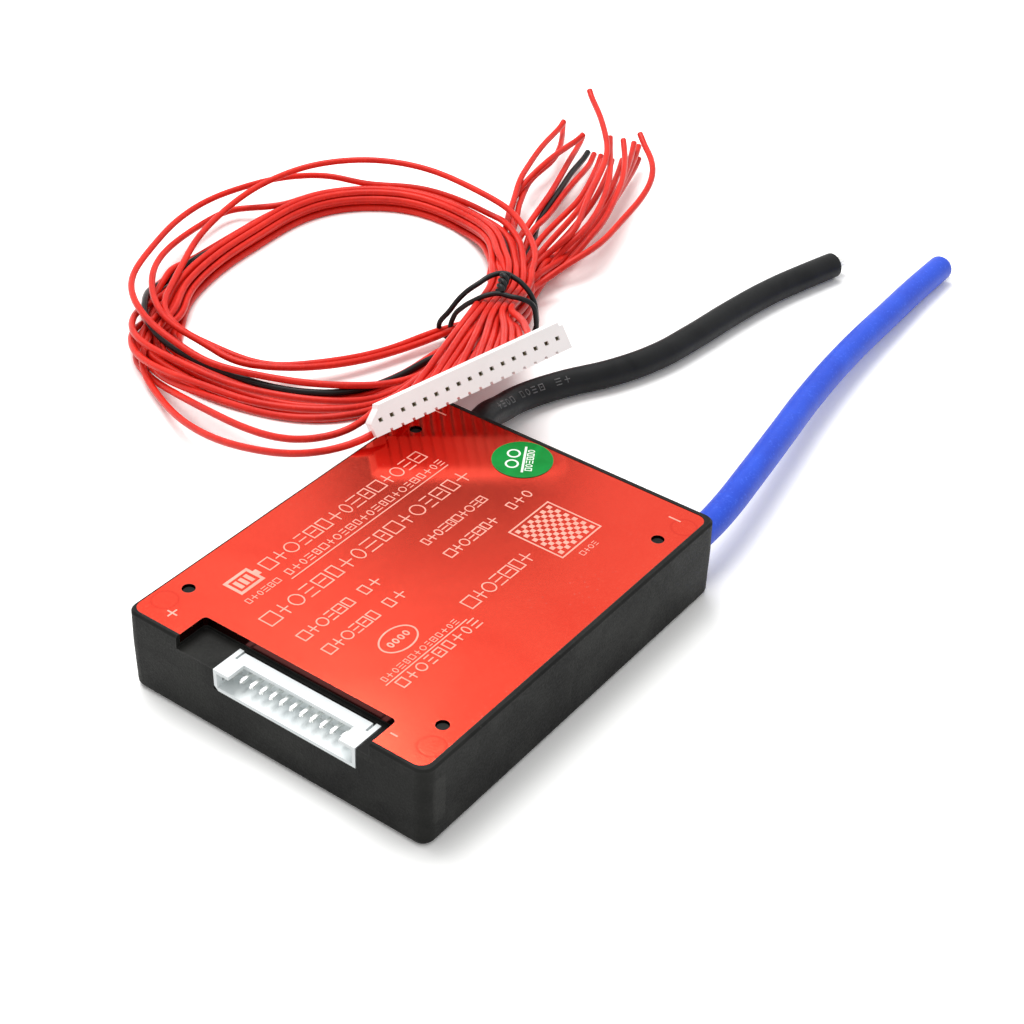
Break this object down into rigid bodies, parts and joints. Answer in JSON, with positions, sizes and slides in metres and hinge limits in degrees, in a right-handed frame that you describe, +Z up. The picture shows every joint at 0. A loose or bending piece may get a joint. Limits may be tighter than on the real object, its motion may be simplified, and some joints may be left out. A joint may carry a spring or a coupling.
{
  "type": "battery management board",
  "caption": "Flat battery protection circuit in a black moulded case with a red heat plate, a sense socket, power cables and a coiled sense harness.",
  "frame": {"origin": "centre of the case's underside, on the surface that it stands on", "axes": "+X from the socket's end to the cables' end, along the case's length; +Y towards the load cable; +Z up, out of the heat plate"},
  "size_m": [0.2073, 0.1582, 0.0328],
  "materials": {
    "case_plastic": "fine moulded texture",
    "red_anodised": "red anodised satin",
    "thermal_pad": "soft matt",
    "board_laminate": "solder mask",
    "component_black": "matt moulding",
    "copper": "bare copper",
    "capacitor_ceramic": "glazed",
    "sensor_glass": "glazed bead",
    "connector_nylon": "milky nylon",
    "tinned_metal": "tin plated",
    "blue_jacket": "smooth silicone",
    "black_jacket": "smooth silicone",
    "sticker_film": "glossy film",
    "contact_brass": "tin over brass",
    "wire_red": "satin PVC",
    "tie_black": "satin PVC"
  },
  "bodies": {
    "root": {"case": "case_plastic", "heat_plate": "red_anodised", "thermal_pads": "thermal_pad", "circuit_board": "board_laminate", "discharge_transistors": "component_black", "charge_transistors": "component_black", "drain_bar": "copper", "pack_source_bar": "copper", "load_source_bar": "copper", "pack_terminal": "copper", "load_terminal": "copper", "current_shunts": "component_black", "balance_resistors": "component_black", "balance_transistors": "component_black", "filter_capacitors": "capacitor_ceramic", "monitor_chip": "component_black", "driver_chip": "component_black", "temperature_sensor": "sensor_glass", "socket_housing": "connector_nylon", "socket_pins": "tinned_metal", "pack_core": "tinned_metal", "pack_cable": "blue_jacket", "pack_solder": "tinned_metal", "load_core": "tinned_metal", "load_cable": "black_jacket", "load_solder": "tinned_metal", "inspection_sticker": "sticker_film", "plug_housing": "connector_nylon", "plug_contacts": "contact_brass", "wire_fan": "wire_red", "wire_coil": "wire_red", "wire_tails": "wire_red", "wire_tie": "tie_black"}
  },
  "joints": []
}
